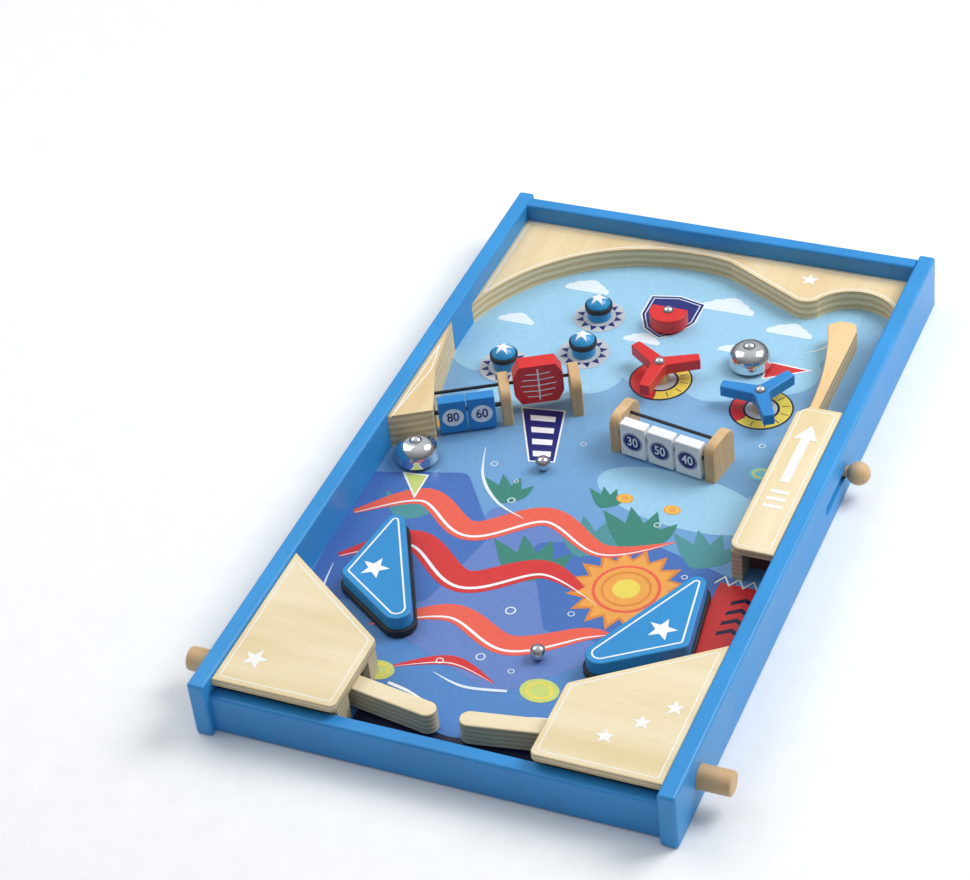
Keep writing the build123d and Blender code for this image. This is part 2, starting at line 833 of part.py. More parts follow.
bell_seat = field_top + bell_lift + bell_h - bell_t
with BuildPart() as bell_posts:
    with Locations(*[(x, y, field_top) for x, y in bell_points]):
        Cylinder(bell_post_r, bell_seat - field_top, align=low)
    with Locations(*[(x, y, bell_seat) for x, y in bell_points]):
        Hole(bell_screw_r + pin_fit, bell_screw_l + pin_fit)
keep(bell_posts.part, "bell_posts")


def domed_pin(place, seat, shank_r, depth, head_r, head_h):
    """A pin that hangs by a domed head at height seat."""
    with BuildPart() as pin:
        with BuildSketch(Plane((*place, seat), (1, 0, 0), (0, -1, 0))):
            with BuildLine():
                Polyline((0, head_h), (0, -depth), (shank_r, -depth), (shank_r, 0), (head_r, 0))
                ThreePointArc((head_r, 0), dome_middle(head_r, head_h, 0), (0, head_h))
            make_face()
        revolve(axis=Axis((*place, 0), (0, 0, 1)))
    return pin.part


with BuildPart() as bell_screws:
    for place in bell_points:
        screw_depth = bell_t + bell_screw_l
        add(domed_pin(place, bell_seat + bell_t, bell_screw_r, screw_depth, bell_head_r, bell_head_h))
keep(bell_screws.part, "bell_screws")


# Three-armed spinners on short posts, and the half disc that swings on a nail
def spinner(place, angle):
    arm = [(0, -arm_root_w / 2), (arm_l, -arm_tip_w / 2), (arm_l, arm_tip_w / 2), (0, arm_root_w / 2)]
    with BuildPart() as star:
        with BuildSketch(Plane.XY.offset(field_top + spinner_post_h + play_gap)) as outline:
            for turn in range(3):
                with Locations(Location((*place, 0), (0, 0, angle + 120 * turn))):
                    Polygon(*arm, align=None)
            tips = outline.vertices().filter_by(lambda v: math.dist((v.X, v.Y), place) > arm_l / 2)
            fillet(tips, arm_corner_r)
            bends = outline.vertices().filter_by(lambda v: math.dist((v.X, v.Y), place) < arm_l / 2)
            fillet(bends, hub_bend_r)
        extrude(amount=spinner_t)
        fillet(star.edges().group_by(Axis.Z)[-1], edge_r)
        with Locations((*place, field_top)):
            Cylinder(nail_r + run_fit, 6 * spinner_t, mode=Mode.SUBTRACT)
    return star.part


keep(spinner(spinner_points[0], spinner_angles[0]), "red_spinner")
keep(spinner(spinner_points[1], spinner_angles[1]), "blue_spinner")

with BuildPart() as spinner_posts:
    with Locations(*[(x, y, field_top) for x, y in spinner_points]):
        Cylinder(spinner_post_r, spinner_post_h, align=low)
    with Locations(*[(x, y, field_top + spinner_post_h) for x, y in spinner_points]):
        Hole(nail_r + pin_fit, nail_seat + pin_fit)
keep(spinner_posts.part, "spinner_posts")

with BuildPart() as swing_target:
    with BuildSketch(Plane.XY.offset(field_top + target_lift)):
        with Locations(target_point):
            Circle(target_r)
        with Locations((target_point[0], target_point[1] + target_flat)):
            Rectangle(3 * target_r, 2 * target_r, align=(Align.CENTER, Align.MIN), mode=Mode.SUBTRACT)
    extrude(amount=target_t)
    fillet(swing_target.edges().group_by(Axis.Z)[-1], edge_r)
    with Locations((*target_point, field_top + boss_gap)):
        Cylinder(nail_head_r, target_lift, align=low)
        Cylinder(nail_r + run_fit, 4 * target_t, mode=Mode.SUBTRACT)
keep(swing_target.part, "swing_target")

with BuildPart() as pivot_nails:
    for place in spinner_points:
        hang = field_top + spinner_post_h + spinner_t + 2 * play_gap
        add(domed_pin(place, hang, nail_r, spinner_t + 2 * play_gap + nail_seat, nail_head_r, nail_head_h))
    hang = field_top + target_lift + target_t + play_gap
    depth = target_lift + target_t + play_gap + pivot_pin_seat
    add(domed_pin(target_point, hang, nail_r, depth, nail_head_r, nail_head_h))
keep(pivot_nails.part, "pivot_nails")


# Number gates
def gate_post(gate, start):
    with BuildPart(gate) as post:
        with Locations((start, 0, 0)):
            Box(post_t, post_d, post_h, align=corner)
        top = post.edges().filter_by(lambda e: abs((e % 0.5).dot(gate.x_dir)) > 0.99)
        fillet(top.group_by(Axis.Z)[-1], post_round)
        fillet(post.edges().filter_by(Axis.Z), edge_r)
    return post.part


def tile(gate, start, width):
    with BuildPart(gate) as block:
        with Locations((start, -tile_proud, tile_lift)):
            Box(width, tile_t, tile_h, align=corner)
        fillet(block.edges(), tile_edge_r)
        with Locations(Location((start, axle_depth, tile_axle_z), along_x)):
            Cylinder(axle_r + run_fit, 4 * width, mode=Mode.SUBTRACT)
    return block.part


white_starts = [-white_span / 2 - post_t, white_span / 2]
with BuildPart() as gate_posts:
    for start in white_starts:
        add(gate_post(white_gate, start))
    for start in blue_post_starts:
        add(gate_post(blue_gate, start))
    add(axle_bores, mode=Mode.SUBTRACT)
    add(rod_bores, mode=Mode.SUBTRACT)
keep(gate_posts.part, "gate_posts")

for number, name in enumerate(("left", "middle", "right")):
    tile_start = -white_span / 2 + white_tile_gap + number * (white_tile_w + white_tile_gap)
    keep(tile(white_gate, tile_start, white_tile_w), f"white_tile_{name}")
for start, name in zip(blue_tile_starts, ("left", "right")):
    keep(tile(blue_gate, start, blue_tile_w), f"blue_tile_{name}")

paddle_outline = [
    (-paddle_end_w / 2, -paddle_h / 2),
    (paddle_end_w / 2, -paddle_h / 2),
    (paddle_w / 2, -paddle_waist_h / 2),
    (paddle_w / 2, paddle_waist_h / 2),
    (paddle_end_w / 2, paddle_h / 2),
    (-paddle_end_w / 2, paddle_h / 2),
    (-paddle_w / 2, paddle_waist_h / 2),
    (-paddle_w / 2, -paddle_waist_h / 2),
]
paddle_front = blue_gate.from_local_coords((paddle_u, rod_back - paddle_t / 2, rod_height))
with BuildPart() as red_paddle:
    with BuildSketch(Plane(paddle_front, blue_gate.x_dir, -blue_gate.y_dir)) as outline:
        Polygon(*paddle_outline, align=None)
        fillet(outline.vertices(), paddle_corner_r)
    extrude(amount=-paddle_t)
    with Locations(blue_gate.location * Location((paddle_u, rod_back, rod_height), along_x)):
        Cylinder(stop_rod_r + run_fit, 2 * paddle_w, mode=Mode.SUBTRACT)
keep(red_paddle.part, "red_paddle")

# Steel balls on the playfield
for number, (x, y) in enumerate(ball_points, start=1):
    with BuildPart() as ball:
        with Locations((x, y, field_top + ball_r + ball_gap)):
            Sphere(ball_r)
    keep(ball.part, f"ball_{number}")
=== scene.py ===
import math

import bmesh
import bpy
from mathutils import Matrix, Vector


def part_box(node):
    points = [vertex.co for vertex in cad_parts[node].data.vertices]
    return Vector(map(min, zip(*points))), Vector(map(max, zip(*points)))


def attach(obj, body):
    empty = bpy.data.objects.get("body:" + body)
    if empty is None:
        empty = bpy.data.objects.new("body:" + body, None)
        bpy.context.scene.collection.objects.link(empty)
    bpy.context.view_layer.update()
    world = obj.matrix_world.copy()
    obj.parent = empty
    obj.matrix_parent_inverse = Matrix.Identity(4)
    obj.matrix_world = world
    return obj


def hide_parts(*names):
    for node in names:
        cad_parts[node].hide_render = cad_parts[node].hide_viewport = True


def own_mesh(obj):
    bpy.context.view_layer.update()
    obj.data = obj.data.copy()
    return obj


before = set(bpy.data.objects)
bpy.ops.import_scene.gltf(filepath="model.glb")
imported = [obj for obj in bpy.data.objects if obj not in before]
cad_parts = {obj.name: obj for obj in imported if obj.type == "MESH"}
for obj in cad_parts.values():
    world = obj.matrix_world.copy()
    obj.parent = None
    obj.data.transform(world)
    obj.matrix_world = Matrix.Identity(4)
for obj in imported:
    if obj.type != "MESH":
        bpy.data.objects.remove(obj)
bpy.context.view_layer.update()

# Looks of a wooden tabletop pinball game. Lengths in the tables are in millimetres, in the part's frame.
MM = 0.001

# Places taken over from the part's source
FIELD_TOP = 12.0
INNER_X = 139.0
COVER_TOP = 38.0
COVER_IN = 60.0
COVER_FRONT = -247.0
COVER_BACK_IN, COVER_BACK_OUT = -188.5, -132.5
LAUNCH_TOP = 40.0
SLING_TOP = 27.0
SLING = ((98.5, -77.5, 6.0), (65.0, -150.0, 9.0), (105.5, -127.0, 6.0))
PEGS = ((-58.4, 169.5), (-54.3, 129.2), (-100.1, 101.8))
PEG_RADIUS, PEG_DOME, PEG_SIDE = 8.0, 5.0, 11.5
DIALS = ((5.1, 115.6), (77.7, 105.3))
# Each gate's middle, its angle, the width of its tiles and where they start along it
GATES = {
    "white": ((36.0, 33.0), -10.0, 18.0, (-28.9, -9.0, 10.9)),
    "blue": ((-97.5, 31.4), 28.4, 18.2, (-17.2, 1.6)),
}
TILE_PROUD, TILE_MID = 1.5, 26.2
PADDLE = (49.7, 10.5, 34.3)

# Each printed shape has a height of its own, so that no two lie in one plane
PROUD = 0.06
LAYER = 0.05
STEP = 0.004
STEPS = 11

scene = bpy.context.scene
scene.view_settings.view_transform = "Standard"


# Colours are written as 0-255 screen values
def ink(red, green, blue):
    def line(value):
        value /= 255
        return value / 12.92 if value <= 0.04045 else ((value + 0.055) / 1.055) ** 2.4

    return (line(red), line(green), line(blue), 1.0)


def shade(colour, factor):
    return tuple(channel * factor for channel in colour[:3]) + (1.0,)


# Short forms for shader nodes
def put(tree, socket, value):
    if isinstance(value, bpy.types.NodeSocket):
        tree.links.new(value, socket)
    else:
        socket.default_value = value


def add(tree, kind, inputs=None, **settings):
    made = tree.nodes.new("ShaderNode" + kind)
    for name, value in settings.items():
        setattr(made, name, value)
    for name, value in (inputs or {}).items():
        put(tree, made.inputs[name], value)
    return made


def start(name, **values):
    made = bpy.data.materials.new(name)
    made.use_nodes = True
    tree = made.node_tree
    shader = tree.nodes["Principled BSDF"]
    for socket, value in values.items():
        shader.inputs[socket.replace("_", " ")].default_value = value
    place = add(tree, "TexCoord").outputs["Object"]
    return made, tree, shader, place


def stretched(tree, place, scale):
    return add(tree, "Mapping", {"Vector": place, "Scale": scale}).outputs["Vector"]


def noise(tree, vector, scale, detail=4.0, rough=0.55):
    values = {"Vector": vector, "Scale": scale, "Detail": detail, "Roughness": rough}
    return add(tree, "TexNoise", values).outputs["Fac"]


def spread(tree, value, low, high, to_low=0.0, to_high=1.0):
    values = {"Value": value, "From Min": low, "From Max": high, "To Min": to_low, "To Max": to_high}
    return add(tree, "MapRange", values).outputs["Result"]


def math_node(tree, operation, *values):
    made = add(tree, "Math", operation=operation)
    for socket, value in zip(made.inputs, values):
        put(tree, socket, value)
    return made.outputs[0]


def blend(tree, factor, first, second, mode="MIX"):
    made = add(tree, "Mix", data_type="RGBA", blend_type=mode)
    for socket, value in ((made.inputs[0], factor), (made.inputs[6], first), (made.inputs[7], second)):
        put(tree, socket, value)
    return made.outputs[2]


def bump(tree, shader, height, strength, distance):
    made = add(tree, "Bump", {"Height": height, "Strength": strength, "Distance": distance})
    put(tree, shader.inputs["Normal"], made.outputs["Normal"])


def split(tree, vector):
    return add(tree, "SeparateXYZ", {"Vector": vector}).outputs


def facing(tree):
    return add(tree, "NewGeometry").outputs["Normal"]


def edge_mask(tree, radius):
    """About 1 where a face turns over an edge, 0 on the flats."""
    soft = add(tree, "Bevel", {"Radius": radius}, samples=6).outputs["Normal"]
    turn = add(tree, "VectorMath", {0: soft, 1: facing(tree)}, operation="DOT_PRODUCT").outputs["Value"]
    return spread(tree, turn, 0.995, 0.88)


# Materials, with their lengths in metres
# Radius of the lighter paint edges, which are partly wear and partly painted highlight
EDGE_WEAR_AND_HIGHLIGHT_RADIUS = 0.0011


def paint(name, colour, roughness=0.38, edge=1.35, grain=(14, 3, 14)):
    """Brushed-on satin paint over wood: a faint grain, blotches, and lighter edges that are partly rubbed
    wear and partly painted highlight.
    """
    made, tree, shader, place = start(name, IOR=1.48)
    blotch = spread(tree, noise(tree, place, 22, 5), 0.35, 0.65)
    fibre = noise(tree, stretched(tree, place, grain), 40, 6, 0.65)
    base = blend(tree, blotch, shade(colour, 0.93), shade(colour, 1.06))
    base = blend(tree, spread(tree, fibre, 0.4, 0.75, 0.0, 0.35), base, shade(colour, 0.82))
    patches = spread(tree, noise(tree, place, 90), 0.3, 0.6)
    # Lighter edges in patches: rubbed wear, and painted highlight along the edges
    edge_wear_and_highlight = math_node(tree, "MULTIPLY", edge_mask(tree, EDGE_WEAR_AND_HIGHLIGHT_RADIUS), patches)
    base = blend(tree, math_node(tree, "MULTIPLY", edge_wear_and_highlight, 0.6), base, shade(colour, edge))
    gloss = spread(tree, blotch, 0, 1, roughness - 0.05, roughness + 0.07)
    put(tree, shader.inputs["Base Color"], base)
    put(tree, shader.inputs["Roughness"], gloss)
    bump(tree, shader, fibre, 0.12, 0.0004)
    return made


def timber(name, light, dark, grain, roughness=0.5, flecks=0.5):
    """Clear-finished solid wood with growth lines along its grain and short dark flecks."""
    made, tree, shader, place = start(name, IOR=1.45)
    along = stretched(tree, place, grain)
    drift = noise(tree, along, 9, 4)
    lines = noise(tree, along, 46, 7, 0.62)
    base = blend(tree, spread(tree, drift, 0.36, 0.66), light, dark)
    base = blend(tree, spread(tree, lines, 0.52, 0.78, 0.0, 0.55), base, shade(dark, 0.8))
    fleck = spread(tree, noise(tree, along, 160, 2), 0.66, 0.74, 0.0, flecks)
    base = blend(tree, fleck, base, shade(dark, 0.62))
    gloss = spread(tree, lines, 0.3, 0.8, roughness - 0.06, roughness + 0.1)
    put(tree, shader.inputs["Base Color"], base)
    put(tree, shader.inputs["Roughness"], gloss)
    bump(tree, shader, lines, 0.2, 0.0003)
    return made


def plywood(name, light, dark, grain, ply, edge=(0.84, 0.74)):
    """Birch plywood: faint grain on the faces, alternate plies on the cut edges."""
    made, tree, shader, place = start(name, IOR=1.45)
    along = stretched(tree, place, grain)
    drift = noise(tree, along, 8, 4)
    lines = noise(tree, along, 55, 7, 0.6)
    face = blend(tree, spread(tree, drift, 0.35, 0.68), light, dark)
    face = blend(tree, spread(tree, lines, 0.55, 0.8, 0.0, 0.4), face, shade(dark, 0.86))
    wobble = spread(tree, noise(tree, place, 30, 3), 0.0, 1.0, -0.35, 0.35)
    level = math_node(tree, "MULTIPLY", split(tree, place)["Z"], 1000.0 / ply)
    level = math_node(tree, "FRACT", math_node(tree, "ADD", level, wobble))
    band = math_node(tree, "ABSOLUTE", math_node(tree, "SUBTRACT", level, 0.5))
    layer = spread(tree, band, 0.17, 0.3)
    fibres = noise(tree, stretched(tree, place, (60, 60, 260)), 8, 5, 0.7)
    # edge scales the colour of the cut edges; above 1, as for pine_y, it paints light onto them
    cut = blend(tree, layer, shade(light, edge[0]), shade(dark, edge[1]))
    cut = blend(tree, spread(tree, fibres, 0.45, 0.75, 0.0, 0.3), cut, shade(dark, 0.8 * edge[1]))
    upright = math_node(tree, "ABSOLUTE", split(tree, facing(tree))["Z"])
    base = blend(tree, spread(tree, upright, 0.45, 0.7), cut, face)
    put(tree, shader.inputs["Base Color"], base)
    put(tree, shader.inputs["Roughness"], spread(tree, lines, 0.3, 0.8, 0.46, 0.62))
    bump(tree, shader, math_node(tree, "ADD", lines, math_node(tree, "MULTIPLY", layer, 0.4)), 0.16, 0.0003)
    return made


def metal(name, colour, low, high, scale=120, grain=(1, 1, 1)):
    """Plated metal: its gloss varies with faint smears and fine scratches."""
    made, tree, shader, place = start(name, Metallic=1.0, Base_Color=colour)
    smear = noise(tree, stretched(tree, place, grain), scale, 5)
    put(tree, shader.inputs["Roughness"], spread(tree, smear, 0.3, 0.7, low, high))
    bump(tree, shader, noise(tree, stretched(tree, place, grain), 8 * scale, 2), 0.02, 0.0001)
    return made


def rubber(name, colour):
    """Matt rubber with a little pale dust."""
    made, tree, shader, place = start(name, IOR=1.5)
    dust = spread(tree, noise(tree, place, 140, 6), 0.5, 0.75, 0.0, 0.35)
    put(tree, shader.inputs["Base Color"], blend(tree, dust, colour, ink(66, 66, 72)))
    put(tree, shader.inputs["Roughness"], spread(tree, dust, 0, 0.35, 0.5, 0.75))
    bump(tree, shader, noise(tree, place, 1400, 3), 0.15, 0.0002)
    return made


def printed(name, colour, roughness=0.32):
    """A flat printed ink with a little mottle from the board under it."""
    made, tree, shader, place = start(name, IOR=1.46)
    mottle = spread(tree, noise(tree, place, 260, 3), 0.35, 0.65)
    veil = spread(tree, noise(tree, place, 18, 3), 0.3, 0.7)
    base = blend(tree, mottle, shade(colour, 0.96), shade(colour, 1.03))
    base = blend(tree, math_node(tree, "MULTIPLY", veil, 0.2), base, shade(colour, 0.85))
    gloss = spread(tree, mottle, 0, 1, roughness - 0.03, roughness + 0.06)
    put(tree, shader.inputs["Base Color"], base)
    put(tree, shader.inputs["Roughness"], gloss)
    bump(tree, shader, noise(tree, place, 900, 2), 0.04, 0.0001)
    return made


# Colours of the playfield from its front end (0) to its back end (1)
SKY_FRONT, SKY_BACK = ink(72, 124, 192), ink(154, 200, 226)
SKY_BETWEEN = ((0.25, ink(92, 144, 202)), (0.5, ink(112, 162, 208)), (0.8, ink(130, 176, 214)))
SKY_REACH = 0.24


def sky_board(name):
    """The playfield's ground: bright at the back, deeper blue towards the player, bare board below."""
    made, tree, shader, place = start(name, IOR=1.46)
    drift = spread(tree, noise(tree, place, 7, 3), 0.0, 1.0, -0.03, 0.03)
    along = math_node(tree, "ADD", split(tree, place)["Y"], drift)
    ramp = add(tree, "ValToRGB", {"Fac": spread(tree, along, -SKY_REACH, SKY_REACH)})
    stops = ramp.color_ramp.elements
    stops[0].position, stops[0].color = 0.0, SKY_FRONT
    stops[1].position, stops[1].color = 1.0, SKY_BACK
    for at, colour in SKY_BETWEEN:
        stop = stops.new(at)
        stop.color = colour
    mottle = spread(tree, noise(tree, place, 240, 3), 0.35, 0.65, 0.97, 1.03)
    sky = blend(tree, 1.0, ramp.outputs["Color"], mottle, "MULTIPLY")
    fibres = spread(tree, noise(tree, place, 320, 5), 0.3, 0.7)
    board = blend(tree, fibres, ink(178, 140, 98), ink(200, 164, 120))
    above = spread(tree, split(tree, facing(tree))["Z"], 0.2, 0.6)
    put(tree, shader.inputs["Base Color"], blend(tree, above, board, sky))
    gloss = spread(tree, noise(tree, place, 60, 3), 0.3, 0.7, 0.28, 0.38)
    put(tree, shader.inputs["Roughness"], gloss)
    bump(tree, shader, noise(tree, place, 900, 2), 0.04, 0.0001)
    return made


LONG_Y, LONG_X, LONG_Z = (5.0, 0.7, 5.0), (0.7, 5.0, 5.0), (5.0, 5.0, 0.7)
BIRCH, BIRCH_DARK = ink(242, 226, 190), ink(230, 208, 162)
BEECH, BEECH_DARK = ink(226, 192, 146), ink(204, 164, 116)
# Heights of a pair of plies, in millimetres
THIN_PLY, GUIDE_PLY, THICK_PLY = 3.4, 5.0, 5.2
rail_paint = paint("rail_paint", ink(50, 148, 216))
# The end rails' paint runs its grain along X and is a little darker than the side rails' paint: the
# darkening is painted shade
end_rail_paint_with_painted_shade = paint("end_rail_paint_with_painted_shade", ink(46, 142, 212), grain=(3, 14, 14))
sling_paint = paint("sling_paint", ink(44, 144, 208))
peg_paint = paint("peg_paint", ink(52, 154, 212), 0.3)
tile_blue = paint("tile_blue", ink(42, 136, 208))
red_paint = paint("red_paint", ink(222, 44, 44), 0.36, 1.3)
white_paint = paint("white_paint", ink(246, 246, 246), 0.4, 1.0)
ply_y = plywood("ply_y", BIRCH, BIRCH_DARK, LONG_Y, THIN_PLY)
ply_x = plywood("ply_x", BIRCH, BIRCH_DARK, LONG_X, THIN_PLY)
# The deflectors' plywood has lighter cut edges than the birch (1.06, 0.98 against 0.84, 0.74): painted
# light on those edges
pine_y = plywood("pine_y", ink(238, 216, 174), ink(224, 194, 144), LONG_Y, THICK_PLY, (1.06, 0.98))
beech_x = timber("beech_x", BEECH, BEECH_DARK, LONG_X)
beech_y = timber("beech_y", BEECH, BEECH_DARK, LONG_Y)
beech_z = timber("beech_z", BEECH, BEECH_DARK, LONG_Z)
guide_wood = plywood("guide_wood", ink(244, 212, 162), ink(232, 192, 136), LONG_Y, GUIDE_PLY, (1.0, 0.88))
brown_wood = timber("brown_wood", ink(132, 92, 62), ink(98, 64, 42), LONG_Z, 0.6)
black_rubber = rubber("black_rubber", ink(24, 24, 28))
chrome = metal("bright_chrome", ink(222, 222, 224), 0.05, 0.14)
ball_chrome = metal("ball_chrome", ink(206, 206, 210), 0.04, 0.1)
steel = metal("steel", ink(186, 186, 190), 0.26, 0.42, 90, (1, 12, 12))
dark_steel = metal("dark_steel", ink(70, 70, 74), 0.3, 0.45, 90)
sky_print = sky_board("sky_print")

LOOKS = {
    "left_rail": rail_paint, "right_rail": rail_paint, "front_rail": end_rail_paint_with_painted_shade, "back_rail": end_rail_paint_with_painted_shade,
    "playfield": sky_print, "case_screws": rail_paint, "left_leg": beech_y, "right_leg": beech_y,
    "leg_ears": beech_y, "leg_pins": steel, "left_cover": ply_x, "right_cover": ply_x,
    "left_housing": ply_y, "right_housing": ply_y, "left_flipper": ply_x, "right_flipper": ply_x,
    "left_button": beech_x, "right_button": beech_x, "left_pusher": beech_y, "right_pusher": beech_y,
    "left_button_spring": steel, "right_button_spring": steel, "button_saddles": beech_y,
    "flipper_pins": steel, "lane_wall": ply_y, "launch_cover": ply_y, "lane_guide": guide_wood,
    "launcher_stop": brown_wood, "launcher_slider": beech_y, "launcher_knob": beech_x,
    "launcher_spring": steel, "arch_deflector": pine_y, "left_deflector": pine_y,
    "left_slingshot": sling_paint, "right_slingshot": sling_paint,
    "left_rubber_band": black_rubber, "right_rubber_band": black_rubber,
    "pegs": peg_paint, "peg_rings": black_rubber, "left_bell": chrome, "right_bell": chrome,
    "bell_posts": beech_z, "bell_screws": chrome, "red_spinner": red_paint, "blue_spinner": tile_blue,
    "spinner_posts": beech_z, "swing_target": red_paint, "pivot_nails": chrome, "gate_posts": beech_z,
    "tile_axles": dark_steel, "stop_rods": dark_steel, "white_tile_left": white_paint,
    "white_tile_middle": white_paint, "white_tile_right": white_paint, "blue_tile_left": tile_blue,
    "blue_tile_right": tile_blue, "red_paddle": red_paint, "ball_1": ball_chrome, "ball_2": ball_chrome,
}
for node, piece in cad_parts.items():
    piece.data.materials.clear()
    piece.data.materials.append(LOOKS[node])

# Each spring, which shortens from its fixed end as it is pressed, is copied onto the case with a mesh of
# its own in place of its CAD node
SPRINGS = (
    ("launcher_spring", "launcher_pull", 1, "low"),
    ("left_button_spring", "left_button_push", 0, "high"),
    ("right_button_spring", "right_button_push", 0, "low"),
)
for node, joint, axis, fixed in SPRINGS:
    spring = bpy.data.objects.new(f"{node}_coil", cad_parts[node].data.copy())
    spring.matrix_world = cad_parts[node].matrix_world
    scene.collection.objects.link(spring)
    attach(spring, "case")
    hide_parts(node)
    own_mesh(spring)

INKS = {
    "white": printed("ink_white", ink(246, 247, 248)),
    "wood_white": printed("ink_wood_white", ink(250, 248, 242)),
    "cloud": printed("ink_cloud", ink(226, 238, 248)),
    "pale": printed("ink_pale", ink(156, 204, 232)),
    "aqua": printed("ink_aqua", ink(112, 202, 214)),
    "lavender": printed("ink_lavender", ink(104, 132, 196)),
    "deep": printed("ink_deep", ink(70, 112, 184)),
    "navy": printed("ink_navy", ink(36, 42, 118)),
    "night": printed("ink_night", ink(26, 30, 62)),
    "red": printed("ink_red", ink(214, 52, 52)),
    "coral": printed("ink_coral", ink(236, 98, 78)),
    "orange": printed("ink_orange", ink(238, 164, 76)),
    "amber": printed("ink_amber", ink(222, 136, 60)),
    "yellow": printed("ink_yellow", ink(236, 214, 92)),
    "lime": printed("ink_lime", ink(202, 214, 120)),
    "green": printed("ink_green", ink(58, 132, 118)),
    "fern": printed("ink_fern", ink(78, 146, 152)),
    "steel": printed("ink_steel", ink(196, 200, 206)),
}


class Print:
    """Thin printed shapes on one flat face, all in one mesh: points are (x, y) on that face."""

    def __init__(self, name, body, slot, matrix):
        self.name, self.body, self.slot, self.matrix = name, body, slot, matrix
        self.mesh = bmesh.new()
        self.inks = []
        self.count = 0

    def height(self, layer):
        self.count += 1
        return PROUD + layer * LAYER + self.count % STEPS * STEP

    def lay(self, points, colour, height, lift):
        if colour not in self.inks:
            self.inks.append(colour)
        made = [self.mesh.verts.new((x, y, height + (lift(x, y) if lift else 0))) for x, y in points]
        area = sum(a[0] * b[1] - b[0] * a[1] for a, b in zip(points, points[1:] + points[:1]))
        new = self.mesh.faces.new(made if area > 0 else made[::-1])
        new.material_index = self.inks.index(colour)

    def face(self, points, colour, layer, lift=None):
        self.lay(points, colour, self.height(layer), lift)

    def strip(self, outer, inner, colour, layer, closed=True, lift=None):
        count, height = len(outer), self.height(layer)
        for n in range(count if closed else count - 1):
            m = (n + 1) % count
            self.lay([outer[n], outer[m], inner[m], inner[n]], colour, height, lift)

    def done(self):
        data = bpy.data.meshes.new(self.name)
        self.mesh.to_mesh(data)
        self.mesh.free()
        for colour in self.inks:
            data.materials.append(INKS[colour])
        piece = bpy.data.objects.new(self.name, data)
        scene.collection.objects.link(piece)
        data.transform(Matrix.Diagonal((MM, MM, MM, 1)))
        data.transform(self.matrix)
        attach(piece, self.body)


def at_height(z, x=0.0, y=0.0):
    return Matrix.Translation((x * MM, y * MM, z * MM))


# Outlines for the prints
def arc(x, y, radius, angles):
    return [(x + radius * math.cos(a), y + radius * math.sin(a)) for a in angles]


def circle(x, y, radius, count=40, squeeze=1.0, turn=0.0):
    c, s = math.cos(math.radians(turn)), math.sin(math.radians(turn))
    points = []
    for n in range(count):
        a = 2 * math.pi * n / count
        u, v = radius * math.cos(a), squeeze * radius * math.sin(a)
        points.append((x + u * c - v * s, y + u * s + v * c))
    return points


def star(x, y, radius, inner=0.42, count=5, turn=90.0):
    points = []
    for n in range(2 * count):
        a = math.radians(turn) + math.pi * n / count
        points += arc(x, y, radius * (inner if n % 2 else 1), [a])
    return points


def support(circles, grow, count=96):
    """Outline of the shape stretched round some circles, with matching points for any grow."""
    points = []
    for n in range(count):
        a = 2 * math.pi * n / count
        x, y, r = max(circles, key=lambda k: k[0] * math.cos(a) + k[1] * math.sin(a) + k[2])
        points += arc(x, y, r + grow, [a])
    return points


def ribbon(points, widths, count=48):
    """Left and right edges of a smooth band through some points, as wide as widths says along it."""
    def curve(values, t):
        span = len(values) - 1
        n = min(int(t * span), span - 1)
        s = t * span - n
        p = [values[max(0, min(span, n + k))] for k in (-1, 0, 1, 2)]
        a, b, c = 2 * p[1], p[2] - p[0], 2 * p[0] - 5 * p[1] + 4 * p[2] - p[3]
        return 0.5 * (a + b * s + c * s * s + (3 * (p[1] - p[2]) + p[3] - p[0]) * s**3)

    slope_step = 0.004
    xs, ys = zip(*points)
    left, right = [], []
    for n in range(count + 1):
        t = n / count
        near, far = max(0.0, t - slope_step), min(1.0, t + slope_step)
        x, y = curve(xs, t), curve(ys, t)
        dx, dy = curve(xs, far) - curve(xs, near), curve(ys, far) - curve(ys, near)
        size, half = math.hypot(dx, dy), curve(widths, t) / 2
        left.append((x - dy / size * half, y + dx / size * half))
        right.append((x + dy / size * half, y - dx / size * half))
    return left, right


def inset(points, distance):
    """Corners of an outline moved in by a distance, or out where it is negative (anticlockwise)."""
    moved = []
    for n, here in enumerate(points):
        before, after = Vector(points[n - 1]), Vector(points[(n + 1) % len(points)])
        here = Vector(here)
        d1, d2 = (here - before).normalized(), (after - here).normalized()
        n1, n2 = Vector((-d1.y, d1.x)), Vector((-d2.y, d2.x))
        moved.append(tuple(here + (n1 + n2) * (distance / (1 + n1.dot(n2)))))
    return moved


def split_edges(points, parts):
    """The same outline with each edge cut into equal parts."""
    cut = []
    for a, b in zip(points, points[1:] + points[:1]):
        cut += [(a[0] + (b[0] - a[0]) * k / parts, a[1] + (b[1] - a[1]) * k / parts) for k in range(parts)]
    return cut


def top_outline(node):
    """Corners round the flat top of a CAD node, anticlockwise."""
    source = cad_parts[node]
    solid = bmesh.new()
    solid.from_mesh(source.data)
    solid.transform(source.matrix_world)
    bmesh.ops.remove_doubles(solid, verts=solid.verts, dist=1e-6)
    top = max(v.co.z for v in solid.verts)
    flat = {f for f in solid.faces if min(v.co.z for v in f.verts) > top - 1e-5}
    follow = {}
    for corner in (corner for f in flat for corner in f.loops):
        if sum(f in flat for f in corner.edge.link_faces) == 1:
            follow[corner.vert] = corner.link_loop_next.vert
    here = min(follow, key=lambda v: v.index)
    points = []
    while here in follow:
        points.append((here.co.x / MM, here.co.y / MM))
        here = follow.pop(here)
    solid.free()
    return points


